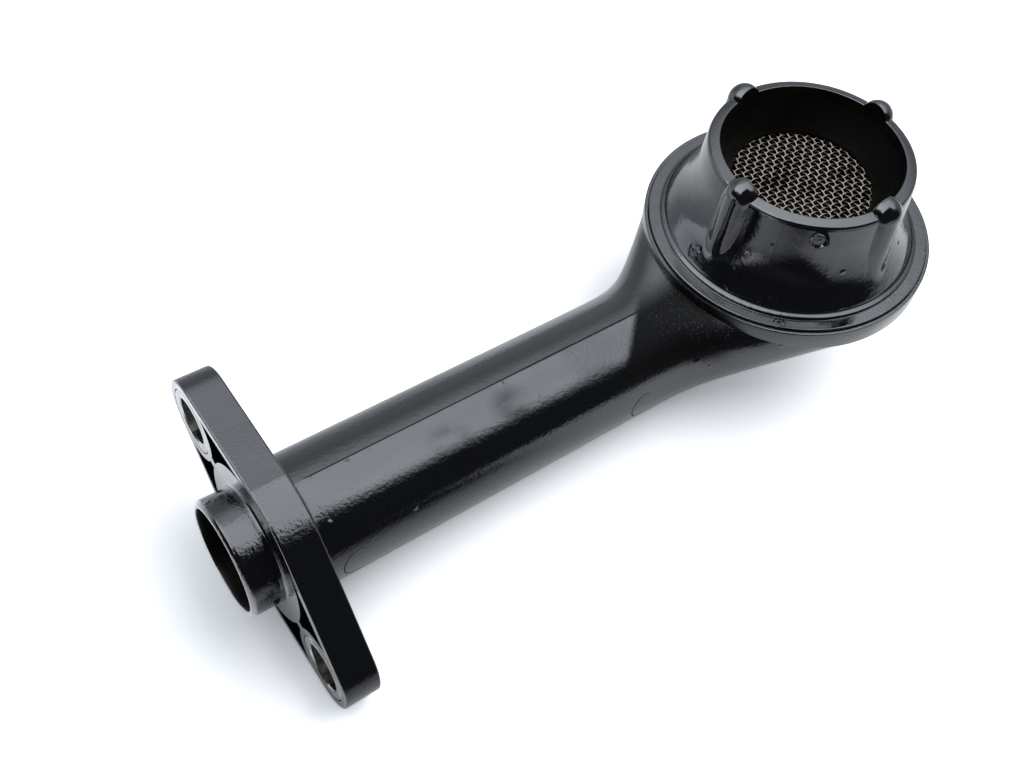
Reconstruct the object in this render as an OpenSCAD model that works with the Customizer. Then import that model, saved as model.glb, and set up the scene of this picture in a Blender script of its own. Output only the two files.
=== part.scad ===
// Oil pickup tube: a moulded suction pipe with a bolted flange and a welded strainer head.
// The tube runs along X, the mating face of the flange is at x = 0 and the strainer opens upwards.

/* [Spigot] */
// Outer diameter of the spigot
spigot_d = 21; // [20:0.25:23]
// Length of the spigot in front of the mating face
spigot_len = 6; // [4:0.5:12]
// Chamfer on the outer edge of the spigot's end
spigot_chamfer = 0.6; // [0.2:0.1:1]

/* [Tube] */
// Outer diameter of the tube
tube_d = 24; // [22.5:0.5:27]
// Diameter of the oil passage
bore_d = 18.6; // [16:0.2:19]
// Fillet between the tube and the back of the flange
root_fillet = 1.2; // [0.5:0.1:2]

/* [Flange] */
// Thickness of the flange
flange_t = 6.5; // [5:0.5:10]
// Distance between the two bolt holes
bolt_spacing = 46; // [42:1:52]
// Radius of the flange around a bolt hole
end_r = 7.5; // [7.2:0.1:8.5]
// Radius of the flange around the spigot
middle_r = 16; // [15:0.25:18]
// Width of the wall that closes the pockets outside
rim_wall = 1.6; // [1.2:0.1:2.5]
// Width of the web between two pockets
web_w = 2.2; // [1.5:0.1:3.5]
// How far the flat land around the spigot reaches into the outer wall
land_step = 0.2; // [0.1:0.1:0.6]
// Depth of the lightening pockets
pocket_depth = 4.6; // [2:0.2:5]

/* [Bolt sleeves] */
// Outer diameter of a sleeve
sleeve_d = 12; // [11:0.25:12.5]
// Bolt hole through a sleeve
bolt_hole_d = 8.4; // [7:0.1:9]
// Width of the plastic ring around a sleeve, in front of the pockets
boss_wall = 1.3; // [0.8:0.1:1.5]

/* [Head] */
// Distance from the mating face to the middle of the head
head_x = 116.3; // [110:0.5:130]
// Height of the weld ring's top above the tube's axis
head_z = 18.5; // [16.5:0.5:22]
// Lean of the head's axis towards the flange, in degrees
head_lean = 5; // [0:1:8]
// Radius of the weld flange
weld_r = 28; // [27:0.5:31]
// Height of the weld flange, both mouldings together
weld_h = 5; // [4.4:0.1:6]
// Height of the part of the weld ring that sits in the seat
seat_depth = 2.4; // [1.6:0.1:2.8]
// Width of the lip around the seat
lip_w = 0.7; // [0.5:0.1:1]
// How far the lip stays below the ring's top
lip_drop = 0.4; // [0.2:0.1:0.8]
// Gap between the lip and the weld ring
weld_gap = 0.1; // [0.05:0.05:0.3]

/* [Bowl] */
// Distance from the mating face to the start of the bowl's fillet
bowl_x = 74; // [68:0.5:78]
// Distance from the mating face to the bend at the foot of the bowl's wall
knee_x = 87.6; // [85:0.2:92]
// How much further the bend is from the mating face below than at the sides
knee_slant = 6; // [0:0.5:8]
// Radius of the opening in the bowl under the head
mouth_r = 23.4; // [22:0.2:24]
// How far the near fillet climbs up the weld flange
climb = 2.6; // [0:0.2:3]

/* [Collar] */
// Inner radius of the collar at its rim
rim_r = 17; // [15.5:0.1:17.4]
// Wall of the collar and the skirt
collar_wall = 2.2; // [1.8:0.1:3]
// Height of the rim above the weld ring
rim_h = 18.7; // [16:0.1:24]
// Height at which the skirt turns into the collar
crease_h = 8.3; // [6:0.1:10]
// How much wider the collar is where it meets the skirt than at its rim
collar_flare = 0.9; // [0.2:0.1:1.6]
// Outer radius of the skirt at its foot
skirt_r = 24.1; // [23.5:0.1:24.5]
// Height and width of the bead at the skirt's foot
bead = 0.9; // [0.5:0.1:1.3]
// Rounding of the rim's outer edge
rim_round = 0.7; // [0.3:0.1:1]
// Depth of the straight part of the mouth below the rim
mouth_land = 2.4; // [1:0.2:4]

/* [Ribs] */
// Number of ribs around the collar
rib_count = 4; // [3:1:6]
// Radius of a rib and of its domed end
rib_r = 3.1; // [2.4:0.1:3.4]
// Radius of the circle on which the ribs stand
rib_circle_r = 17.7; // [17.4:0.1:18.4]
// How far the domed end of a rib stands above the rim
rib_rise = 1.9; // [1:0.1:2.4]
// Turn of the ribs against the tube, in degrees
rib_turn = 2; // [-45:1:45]

/* [Mesh] */
// Radius of the mesh that shows
mesh_r = 13.2; // [11:0.1:14]
// Height of the mesh's middle above the weld ring
mesh_h = 9.9; // [8:0.1:12]
// Width of the mesh's edge that is held in the collar
mesh_hold = 1.4; // [0.8:0.1:1.8]
// Distance between two bars of the mesh
mesh_pitch = 2.4; // [2.3:0.1:4]
// Width and height of one bar
mesh_bar = 0.6; // [0.4:0.05:0.8]
// Turn of the bars against the tube, in degrees
mesh_turn = -6; // [-45:1:45]
// Wall of the inlet cone around and below the mesh
cone_wall = 1.8; // [1.2:0.1:2.4]

/* [Hidden] */
$fn = 96;
plastic = [0.04, 0.04, 0.05];
steel = [0.62, 0.6, 0.57];
// overlap of a cut past the face that it opens
past = 1;
tube_r = tube_d / 2;
bore_r = bore_d / 2;
bolt_r = bolt_spacing / 2;
// one straight side of the flange lies level, so the flange is turned by the lean of its sides
flange_turn = asin((middle_r - end_r) / bolt_r);
boss_r = sleeve_d / 2 + boss_wall;
land_r = middle_r - rim_wall + land_step;
head_centre = [head_x, 0, head_z];
head_axis = [-sin(head_lean), 0, cos(head_lean)];
head_u = [cos(head_lean), 0, sin(head_lean)];
// the bowl's wall
loft_steps = 14;
loft_sides = 72;
// step between a turned surface and the many-sided one that carries it on
facet_step = 0.05;
bowl_tuck = 0.3;
near_weight = 2.2;
far_weight = 4;
knee_inset = 0.5;
// the lines of the wall spread towards the far side, as on a sheet wrapped round tube and disc
spread = [36, 9];
// collar
collar_r = rim_r + collar_wall;
crease_r = collar_r + collar_flare;
// the hollow behind the inlet cone stays a little narrower than the mouth
hollow_step = 0.1;
hollow_r = rim_r - hollow_step;
ring_r = weld_r - lip_w - weld_gap;
mesh_t = 2 * mesh_bar;
rib_dome_h = rim_h + rib_rise - rib_r;
// the ribs lean outwards as the collar's wall does
rib_lean = atan(collar_flare / (rim_h - rim_round - crease_h));

function tube_point(x, r, a) = [x, r * sin(a), -r * cos(a)];
function head_point(r, h, a) = head_centre + h * head_axis + r * (cos(a) * head_u + sin(a) * [0, 1, 0]);
// conic arc from p to q that bends towards k; a larger weight gives a sharper bend
function conic(p, k, q, w, t) = let (a = (1 - t) * (1 - t), b = 2 * w * t * (1 - t), c = t * t)
    (a * p + b * k + c * q) / (a + b + c);
// 0 on the far side of the bowl, 1 on the side of the tube
function nearness(a) = (1 - cos(a)) / 2;
function bend(a) = far_weight + (near_weight - far_weight) * nearness(a);
function disc_angle(a) = a + spread[0] * sin(a) + spread[1] * sin(2 * a);

// Places what is drawn about Z on the head's axis, with the weld ring's top at height 0
module on_head() {
    translate(head_centre) rotate([0, -head_lean, 0]) children();
}

// Outline of the flange, with its straight sides as tangents of the three rounds
module flange_outline(inset = 0) {
    m = middle_r - inset;
    e = end_r - inset;
    circle(m);
    for (s = [-1, 1]) translate([s * bolt_r, 0]) circle(e);
    s = sin(flange_turn);
    c = cos(flange_turn);
    polygon([[m * s, m * c], [bolt_r + e * s, e * c], [bolt_r + e * s, -e * c], [m * s, -m * c],
             [-m * s, -m * c], [-bolt_r - e * s, -e * c], [-bolt_r - e * s, e * c], [-m * s, m * c]]);
}

// Turns a flat drawing so that its plane is the mating face and it grows along X
module on_flange() {
    rotate([flange_turn, 0, 0]) rotate([90, 0, 90]) children();
}

// Pockets between the spigot's land, the bosses and the outer wall
module flange_pockets() {
    translate([0, 0, -past]) linear_extrude(pocket_depth + past) difference() {
        flange_outline(rim_wall);
        circle(land_r);
        square([bolt_spacing, web_w], center = true);
        for (s = [-1, 1]) translate([s * bolt_r, 0]) circle(boss_r);
    }
}

module flange() {
    on_flange() difference() {
        linear_extrude(flange_t) flange_outline();
        flange_pockets();
        for (s = [-1, 1]) translate([s * bolt_r, 0, -past]) cylinder(d = sleeve_d, h = flange_t + 2 * past);
    }
}

// Straight stretch of the moulding, turned about the tube's axis
module straight_run() {
    r = spigot_d / 2;
    f = root_fillet;
    rotate([0, 90, 0]) rotate_extrude() difference() {
        polygon([[0, -spigot_len], [r - spigot_chamfer, -spigot_len], [r, -spigot_len + spigot_chamfer],
                 [r, flange_t / 2], [tube_r + f, flange_t / 2], [tube_r + f, flange_t + f],
                 [tube_r, flange_t + f], [tube_r, bowl_x], [0, bowl_x]]);
        translate([tube_r + f, flange_t + f]) circle(f);
    }
}

// Closed skin from the tube to the weld flange: rings of points, one for each step of the conic arc
module loft(tube_radius, knee, mouth_radius, mouth_h, mouth_climb) {
    rings = [for (i = [0 : loft_steps]) [for (j = [0 : loft_sides - 1])
        let (a = (j + 0.5) * 360 / loft_sides, n = nearness(a))
        conic(tube_point(bowl_x, tube_radius, a), tube_point(knee + knee_slant * cos(a), tube_radius, a),
              head_point(mouth_radius, mouth_h + mouth_climb * n * n, disc_angle(a)),
              bend(a), i / loft_steps)]];
    points = [for (ring = rings) each ring];
    sides = [for (i = [0 : loft_steps - 1]) for (j = [0 : loft_sides - 1])
        let (k = (j + 1) % loft_sides, p = i * loft_sides, q = p + loft_sides)
        each [[p + j, q + j, q + k], [p + j, q + k, p + k]]];
    first = [for (j = [0 : loft_sides - 1]) j];
    middle = len(points);
    last = loft_steps * loft_sides;
    cap = [for (j = [0 : loft_sides - 1]) [last + (j + 1) % loft_sides, last + j, middle]];
    polyhedron(concat(points, [head_point(0, mouth_h, 0)]), concat([first], sides, cap));
}

// Disc with the seat for the strainer head
module weld_disc() {
    on_head() difference() {
        translate([0, 0, -weld_h]) cylinder(r = weld_r, h = weld_h - lip_drop);
        translate([0, 0, -seat_depth]) cylinder(r = weld_r - lip_w, h = seat_depth + past);
    }
}

module pickup_tube() {
    color(plastic) difference() {
        union() {
            flange();
            straight_run();
            loft(tube_r - facet_step, knee_x, weld_r - bowl_tuck, -weld_h + bowl_tuck, climb);
            weld_disc();
        }
        translate([-spigot_len - past, 0, 0]) rotate([0, 90, 0])
            cylinder(r = bore_r, h = spigot_len + past + bowl_x + facet_step);
        loft(bore_r - facet_step, knee_x + knee_inset, mouth_r, -seat_depth + past, 0);
    }
}

// Half section of the strainer head's outside: weld ring, bead, skirt and collar
module collar_outside() {
    polygon([[0, -seat_depth], [ring_r, -seat_depth], [ring_r, 0], [skirt_r + bead, 0],
             [skirt_r + bead, bead], [skirt_r, bead], [crease_r, crease_h],
             [collar_r, rim_h - rim_round], [collar_r - rim_round, rim_h], [0, rim_h]]);
}

// Half section of what is hollow: the mouth, the mesh's groove and the room below the inlet cone
module collar_inside() {
    top = mesh_h + mesh_t / 2;
    foot = mesh_h - mesh_t / 2;
    cone_foot = foot - cone_wall;
    open_h = rim_h + rib_rise + past;
    polygon([[0, -seat_depth - past], [skirt_r - collar_wall, -seat_depth - past],
             [skirt_r - collar_wall, bead], [crease_r - collar_wall, crease_h],
             [hollow_r, rim_h - mouth_land - 2 * cone_wall],
             [mesh_r + mesh_hold + cone_wall / 2, cone_foot], [mesh_r, cone_foot], [mesh_r, foot],
             [mesh_r + mesh_hold, foot], [mesh_r + mesh_hold, top], [mesh_r, top],
             [rim_r, rim_h - mouth_land], [rim_r, open_h], [0, open_h]]);
}

// Round rib that runs out in the skirt, with a domed end above the rim
module rib() {
    translate([0, 0, rib_dome_h]) {
        sphere(rib_r);
        rotate([0, 180 - rib_lean, 0]) cylinder(r = rib_r, h = rib_dome_h - bead);
    }
}

module strainer_collar() {
    color(plastic) on_head() difference() {
        union() {
            rotate_extrude() collar_outside();
            for (i = [0 : rib_count - 1])
                rotate(rib_turn + i * 360 / rib_count) translate([rib_circle_r, 0, 0]) rib();
        }
        rotate_extrude() collar_inside();
    }
}

// Bars of one layer of the mesh, inside its held edge
module mesh_layer() {
    count = floor(mesh_r / mesh_pitch);
    linear_extrude(mesh_bar) {
        difference() {
            circle(mesh_r + mesh_hold);
            circle(mesh_r - mesh_bar);
        }
        intersection() {
            circle(mesh_r);
            for (i = [-count : count])
                translate([0, i * mesh_pitch]) square([2 * mesh_r, mesh_bar], center = true);
        }
    }
}

module strainer_mesh() {
    color(steel) on_head() translate([0, 0, mesh_h]) rotate(mesh_turn) {
        mesh_layer();
        mirror([0, 0, 1]) rotate(90) mesh_layer();
    }
}

module bolt_sleeve(side) {
    color(steel) on_flange() translate([side * bolt_r, 0, 0]) difference() {
        cylinder(d = sleeve_d, h = flange_t);
        translate([0, 0, -past]) cylinder(d = bolt_hole_d, h = flange_t + 2 * past);
    }
}

module bolt_sleeve_upper() {
    bolt_sleeve(1);
}

module bolt_sleeve_lower() {
    bolt_sleeve(-1);
}

pickup_tube();
strainer_collar();
strainer_mesh();
bolt_sleeve_upper();
bolt_sleeve_lower();
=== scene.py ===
import math
import bpy
import bmesh
import numpy as np
from mathutils import Matrix, Vector


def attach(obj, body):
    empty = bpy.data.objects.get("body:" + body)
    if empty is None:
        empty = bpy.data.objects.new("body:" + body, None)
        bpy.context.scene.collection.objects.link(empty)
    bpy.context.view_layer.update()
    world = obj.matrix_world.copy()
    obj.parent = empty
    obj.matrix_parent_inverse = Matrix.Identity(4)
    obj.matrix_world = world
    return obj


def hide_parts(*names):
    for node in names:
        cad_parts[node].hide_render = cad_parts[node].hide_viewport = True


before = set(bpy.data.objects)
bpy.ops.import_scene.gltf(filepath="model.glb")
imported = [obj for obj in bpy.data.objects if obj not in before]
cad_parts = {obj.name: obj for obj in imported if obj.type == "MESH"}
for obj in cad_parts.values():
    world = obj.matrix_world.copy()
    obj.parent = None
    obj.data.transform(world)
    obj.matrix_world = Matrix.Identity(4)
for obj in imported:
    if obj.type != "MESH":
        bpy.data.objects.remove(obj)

scene = bpy.context.scene
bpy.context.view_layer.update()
print("frame loaded:", sorted(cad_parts))

# all sizes below are millimetres; meshes are scaled to metres when they are made
mm = 0.001


# small helpers for meshes

def smooth(low, high, value):
    t = np.clip((value - low) / (high - low), 0, 1)
    return t * t * (3 - 2 * t)


# the larger of two lengths, with a soft bend where they are about the same
def softMax(first, second, width):
    close = np.maximum(width - np.abs(first - second), 0) / width
    return np.maximum(first, second) + close * close * width / 4


def meshObject(name, points, faces, material=None):
    mesh = bpy.data.meshes.new(name)
    mesh.from_pydata([tuple(p) for p in np.asarray(points) * mm], [], [tuple(f) for f in faces])
    mesh.validate()
    made = bmesh.new()
    made.from_mesh(mesh)
    bmesh.ops.recalc_face_normals(made, faces=made.faces)
    made.to_mesh(mesh)
    made.free()
    if material:
        mesh.materials.append(material)
    piece = bpy.data.objects.new(name, mesh)
    scene.collection.objects.link(piece)
    return piece


def ringFaces(rows, sides, closed):
    faces = []
    for i in range(rows if closed else rows - 1):
        p, q = i * sides, ((i + 1) % rows) * sides
        for j in range(sides):
            k = (j + 1) % sides
            faces.append((p + j, q + j, q + k, p + k))
    return faces


def arcPoints(centre, radius, start, stop, steps):
    angles = np.radians(np.linspace(start, stop, steps + 1))
    return [(centre[0] + radius * math.cos(a), centre[1] + radius * math.sin(a)) for a in angles]


def evenAngles(sides):
    return np.arange(sides) * 2 * math.pi / sides


# ring of points about Z, with one radius or a radius for each direction
def ringAt(r, h, angles):
    return np.stack([r * np.cos(angles), r * np.sin(angles), np.full(len(angles), h)], 1)


# closed lathe piece about Z from a loop of (radius, height)
def turnedPiece(name, loop, angles, material=None):
    rings = [ringAt(r, h, angles) for r, h in loop]
    return meshObject(name, np.concatenate(rings), ringFaces(len(rings), len(angles), True), material)


# solid of revolution about Z that is closed at both ends
def domedPiece(name, profile, sides):
    rings = [ringAt(r, h, evenAngles(sides)) for r, h in profile]
    points = np.concatenate(rings + [np.array([[0, 0, profile[0][1]], [0, 0, profile[-1][1]]])])
    faces = ringFaces(len(rings), sides, False)
    low, high, last = len(points) - 2, len(points) - 1, (len(rings) - 1) * sides
    for j in range(sides):
        k = (j + 1) % sides
        faces += [(k, j, low), (last + j, last + k, high)]
    return meshObject(name, points, faces)


def cutOrJoin(piece, other, operation):
    change = piece.modifiers.new("solid", "BOOLEAN")
    change.operation, change.solver, change.object = operation, "EXACT", other
    bpy.context.view_layer.update()
    made = bpy.data.meshes.new_from_object(piece.evaluated_get(bpy.context.evaluated_depsgraph_get()))
    old = piece.data
    piece.modifiers.clear()
    piece.data = made
    bpy.data.meshes.remove(old)
    bpy.data.objects.remove(other)


def joinAll(name, pieces):
    made = bmesh.new()
    for piece in pieces:
        made.from_mesh(piece.data)
    mesh = bpy.data.meshes.new(name)
    made.to_mesh(mesh)
    made.free()
    for piece in pieces:
        bpy.data.objects.remove(piece)
    joined = bpy.data.objects.new(name, mesh)
    scene.collection.objects.link(joined)
    return joined


def shadeSmooth(piece, angle):
    piece.data.polygons.foreach_set("use_smooth", [True] * len(piece.data.polygons))
    piece.data.set_sharp_from_angle(angle=math.radians(angle))
    piece.data.update()


# small helpers for node trees

def plug(tree, spot, value):
    if isinstance(value, bpy.types.NodeSocket):
        tree.links.new(value, spot)
    else:
        spot.default_value = value


# sockets are named with _ for a space, or i0, i1 and so on by their number
def addNode(tree, kind, settings=None, **sockets):
    node = tree.nodes.new(kind)
    for key, value in (settings or {}).items():
        setattr(node, key, value)
    for key, value in sockets.items():
        numbered = key[0] == "i" and key[1:].isdigit()
        plug(tree, node.inputs[int(key[1:]) if numbered else key.replace("_", " ")], value)
    return node


def mathNode(tree, operation, *values):
    return addNode(tree, "ShaderNodeMath", {"operation": operation},
                   **{"i%d" % i: v for i, v in enumerate(values)}).outputs[0]


def vectorNode(tree, operation, **sockets):
    return addNode(tree, "ShaderNodeVectorMath", {"operation": operation}, **sockets).outputs[0]


def product(tree, *values):
    result = values[0]
    for value in values[1:]:
        result = mathNode(tree, "MULTIPLY", result, value)
    return result


def total(tree, *values):
    result = values[0]
    for value in values[1:]:
        result = mathNode(tree, "ADD", result, value)
    return result


def rangeNode(tree, value, fromLow, fromHigh, toLow=0.0, toHigh=1.0, soft=True):
    kind = {"interpolation_type": "SMOOTHSTEP" if soft else "LINEAR"}
    return addNode(tree, "ShaderNodeMapRange", kind, Value=value, From_Min=fromLow, From_Max=fromHigh,
                   To_Min=toLow, To_Max=toHigh).outputs[0]


def mixColour(tree, share, first, second):
    node = addNode(tree, "ShaderNodeMix", {"data_type": "RGBA"}, i0=share, i6=first, i7=second)
    return node.outputs[2]


def noiseNode(tree, spot, scale, detail=2.0, roughness=0.5, distortion=0.0):
    return addNode(tree, "ShaderNodeTexNoise", Vector=spot, Scale=scale, Detail=detail,
                   Roughness=roughness, Distortion=distortion).outputs[0]


def objectSpot(tree):
    return addNode(tree, "ShaderNodeTexCoord").outputs["Object"]


# 1 at a place, falling to 0 at the given distance in metres
def nearTo(tree, spot, place, reach, core=0.0):
    apart = addNode(tree, "ShaderNodeVectorMath", {"operation": "DISTANCE"}, i0=spot, i1=place)
    return rangeNode(tree, apart.outputs["Value"], reach, core)


def newGroup(name, inputs, outputs):
    group = bpy.data.node_groups.new(name, "ShaderNodeTree")
    for label, value in inputs:
        spot = group.interface.new_socket(label, in_out="INPUT", socket_type="NodeSocketFloat")
        spot.default_value = value
    for label in outputs:
        group.interface.new_socket(label, in_out="OUTPUT", socket_type="NodeSocketFloat")
    return group, group.nodes.new("NodeGroupInput"), group.nodes.new("NodeGroupOutput")


def useGroup(tree, group, **sockets):
    return addNode(tree, "ShaderNodeGroup", {"node_tree": group}, **sockets)


def newMaterial(name):
    material = bpy.data.materials.new(name)
    material.use_nodes = True
    tree = material.node_tree
    tree.nodes.clear()
    out = tree.nodes.new("ShaderNodeOutputMaterial")
    bsdf = tree.nodes.new("ShaderNodeBsdfPrincipled")
    tree.links.new(bsdf.outputs[0], out.inputs[0])
    return material, tree, bsdf


# shared finishes

# moulded skin: fine peel that breaks up the edges of reflections, and slow waves
def mouldedSkinGroup():
    group, start, end = newGroup("mouldedSkin", [("Peel", 1.0), ("Waves", 1.0)], ["Height"])
    spot = objectSpot(group)
    peel = product(group, noiseNode(group, spot, 1500.0, 2.0, 0.6), start.outputs["Peel"])
    waves = product(group, noiseNode(group, spot, 160.0, 1.0), start.outputs["Waves"])
    group.links.new(total(group, peel, waves), end.inputs["Height"])
    return group


# film of oil: patches where the skin is wetter, as a share from 0 to 1
def oilFilmGroup():
    group, start, end = newGroup("oilFilm", [("Size", 90.0), ("Cover", 0.5)], ["Wet"])
    along = addNode(group, "ShaderNodeMapping", Vector=objectSpot(group), Scale=(0.45, 1.0, 1.0)).outputs[0]
    cloud = noiseNode(group, along, start.outputs["Size"], 4.0, 0.6, 0.6)
    low = mathNode(group, "SUBTRACT", 0.85, product(group, start.outputs["Cover"], 0.7))
    wet = rangeNode(group, cloud, mathNode(group, "SUBTRACT", low, 0.12), total(group, low, 0.12))
    group.links.new(wet, end.inputs["Wet"])
    return group


# loose specks: grit and drops, thinned out by Amount
def speckGroup():
    group, start, end = newGroup("specks", [("Size", 700.0), ("Amount", 0.1)], ["Speck", "Height"])
    cells = addNode(group, "ShaderNodeTexVoronoi", {"feature": "F1"}, Vector=objectSpot(group),
                    Scale=start.outputs["Size"])
    lot = addNode(group, "ShaderNodeSeparateColor", Color=cells.outputs["Color"])
    kept = mathNode(group, "LESS_THAN", lot.outputs[0], start.outputs["Amount"])
    reach = mathNode(group, "MULTIPLY_ADD", lot.outputs[1], 0.28, 0.14)
    speck = product(group, kept, rangeNode(group, cells.outputs["Distance"], reach, 0.0))
    group.links.new(rangeNode(group, speck, 0.1, 0.5), end.inputs["Speck"])
    group.links.new(speck, end.inputs["Height"])
    return group


mouldedSkin, oilFilm, specks = mouldedSkinGroup(), oilFilmGroup(), speckGroup()
print("shared finishes made")


# plastic of both mouldings; its film of oil carries the gloss, and grime and painted shade take it away
# marks adds the piece's own heights, dust that is partly painted glints, and grime that is partly painted
# shade
def blackPlastic(name, look, marks):
    material, tree, bsdf = newMaterial(name)
    skin = useGroup(tree, mouldedSkin, Peel=look["peel"], Waves=look["waves"]).outputs[0]
    wet = useGroup(tree, oilFilm, Size=look["filmSize"], Cover=look["filmCover"]).outputs[0]
    grit = useGroup(tree, specks, Size=look["gritSize"], Amount=look["gritAmount"])
    height, dustAndGlint, grimeAndShade = marks(tree, objectSpot(tree))
    calm = rangeNode(tree, wet, 0, 1, 1.0, look["filmCalm"], soft=False)
    drops = product(tree, grit.outputs["Height"], look["gritHeight"])
    high = total(tree, product(tree, skin, calm), drops, height)
    bump = addNode(tree, "ShaderNodeBump", Height=high, Strength=1.0, Distance=look["bump"]).outputs[0]
    tree.links.new(bump, bsdf.inputs["Normal"])
    tree.links.new(bump, bsdf.inputs["Coat Normal"])
    # dust colour: dust, with painted glints on the flash
    colour = mixColour(tree, dustAndGlint, look["colour"], look["dustAndGlint"])
    # grime colour: grime, with painted shade where the tube meets the bowl
    colour = mixColour(tree, grimeAndShade, colour, look["grimeAndShade"])
    tree.links.new(colour, bsdf.inputs["Base Color"])
    rough = rangeNode(tree, wet, 0, 1, look["dry"], look["wet"], soft=False)
    dull = mathNode(tree, "MAXIMUM", dustAndGlint, grimeAndShade)
    tree.links.new(mathNode(tree, "MULTIPLY_ADD", dull, 0.35, rough), bsdf.inputs["Roughness"])
    film = rangeNode(tree, wet, 0, 1, look["coat"][0], look["coat"][1], soft=False)
    shine = product(tree, film, mathNode(tree, "SUBTRACT", 1.0, grimeAndShade))
    tree.links.new(shine, bsdf.inputs["Coat Weight"])
    bsdf.inputs["Specular IOR Level"].default_value = look["bare"]
    bsdf.inputs["Coat Roughness"].default_value = look["coatRough"]
    bsdf.inputs["Coat IOR"].default_value = look["coatIor"]
    return material


shadedInsideLook = {
    "colour": (0.0016, 0.0016, 0.002, 1), "sludge": (0.006, 0.0045, 0.003, 1), "rough": 0.5, "wetRough": 0.38,
    "filmSize": 160.0, "filmCover": 0.45, "peel": 0.6, "waves": 0.6, "bump": 0.00006, "bare": 0.12,
}


# painted shade: darker, less glossy plastic for inside the mouth and the bore, also dull with old oil
def shadedInsidePlastic():
    look = shadedInsideLook
    material, tree, bsdf = newMaterial("blackPlasticShadedInside")
    wet = useGroup(tree, oilFilm, Size=look["filmSize"], Cover=look["filmCover"]).outputs[0]
    tree.links.new(mixColour(tree, wet, look["colour"], look["sludge"]), bsdf.inputs["Base Color"])
    tree.links.new(rangeNode(tree, wet, 0, 1, look["rough"], look["wetRough"]), bsdf.inputs["Roughness"])
    skin = useGroup(tree, mouldedSkin, Peel=look["peel"], Waves=look["waves"]).outputs[0]
    bump = addNode(tree, "ShaderNodeBump", Height=skin, Strength=1.0, Distance=look["bump"]).outputs[0]
    tree.links.new(bump, bsdf.inputs["Normal"])
    bsdf.inputs["Specular IOR Level"].default_value = look["bare"]
    return material


shadedInside = shadedInsidePlastic()


# where things are on the tube and on the head

headPlace = {"centre": np.array([116.3, 0, 18.5]), "lean": math.radians(5)}
headAxis = np.array([-math.sin(headPlace["lean"]), 0, math.cos(headPlace["lean"])])
headAcross = np.array([math.cos(headPlace["lean"]), 0, math.sin(headPlace["lean"])])
headMatrix = (Matrix.Translation(Vector(headPlace["centre"] * mm))
              @ Matrix.Rotation(-headPlace["lean"], 4, "Y"))


def tubePoints(x, r, a):
    return np.stack([np.broadcast_to(x, a.shape), r * np.sin(a), -r * np.cos(a)], 1)


def headPoints(r, h, a):
    side = np.cos(a)[:, None] * headAcross + np.sin(a)[:, None] * np.array([0, 1.0, 0])
    up = np.broadcast_to(h, a.shape)[:, None] * headAxis
    return headPlace["centre"] + up + np.broadcast_to(r, a.shape)[:, None] * side


# lower moulding: spigot, flange, tube, bowl and weld disc as one skin

lowerSet = {
    "sides": 256, "spigotR": 10.5, "spigotLen": 6.0, "tubeR": 12.0, "boreR": 9.3, "rootFillet": 1.2,
    "flangeT": 6.5, "boltSpan": 46.0, "endR": 7.5, "middleR": 16.0, "edgeRound": 0.35,
    "rimWall": 1.6, "web": 2.2, "landR": 14.6, "bossR": 7.3, "pocketDepth": 4.6, "sleeveR": 6.0,
    "bowlX": 74.0, "kneeX": 87.6, "kneeSlant": 6.0, "spread": (36.0, 9.0), "farBend": 4.0, "nearBend": 2.2,
    "weldR": 28.0, "weldH": 5.0, "seat": 2.4, "lip": 0.7, "lipDrop": 0.4, "mouthR": 23.4, "climb": 2.6,
    "steps": 30, "draft": 0.05, "draftReach": 4.0,
}
flangeTurn = math.asin((lowerSet["middleR"] - lowerSet["endR"]) / (lowerSet["boltSpan"] / 2))


# both halves of the mould have draft, so the skin falls away a little beside the parting line
def draftDip(a, r):
    away = r * np.arcsin(np.abs(np.sin(a)))
    return lowerSet["draft"] * away * np.exp(-away / lowerSet["draftReach"])


# distance from the axis to the flange's edge, for each direction round the tube
def flangeReach(a, inset):
    m, e = lowerSet["middleR"] - inset, lowerSet["endR"] - inset
    b, t = lowerSet["boltSpan"] / 2, flangeTurn
    turn = np.abs((a - t) % math.pi - math.pi / 2)
    endTouch = math.atan2(e * math.cos(t), b + e * math.sin(t))
    middleTouch = math.pi / 2 - t
    tip = b * np.cos(turn) + np.sqrt(np.maximum(e * e - (b * np.sin(turn)) ** 2, 0))
    straight = m / np.cos(np.minimum(np.abs(turn - middleTouch), 1.2))
    reach = np.where(turn < endTouch, tip, np.where(turn < middleTouch, straight, m))
    return reach - draftDip(a, lowerSet["middleR"])


def bowlRings(tubeR, knee, endR, endH, angles):
    s = lowerSet
    near = (1 - np.cos(angles)) / 2
    bend = (s["farBend"] + (s["nearBend"] - s["farBend"]) * near)[:, None]
    wide, wider = np.radians(s["spread"])
    around = angles + wide * np.sin(angles) + wider * np.sin(2 * angles)
    first = tubePoints(s["bowlX"], tubeR, angles)
    middle = tubePoints(knee + s["kneeSlant"] * np.cos(angles), tubeR, angles)
    last = headPoints(endR, endH, around)
    rings = []
    for t in np.linspace(0, 1, s["steps"] + 1):
        p, k, q = (1 - t) ** 2, 2 * t * (1 - t) * bend, t * t
        rings.append((p * first + k * middle + q * last) / (p + k + q))
    return rings, around


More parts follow.
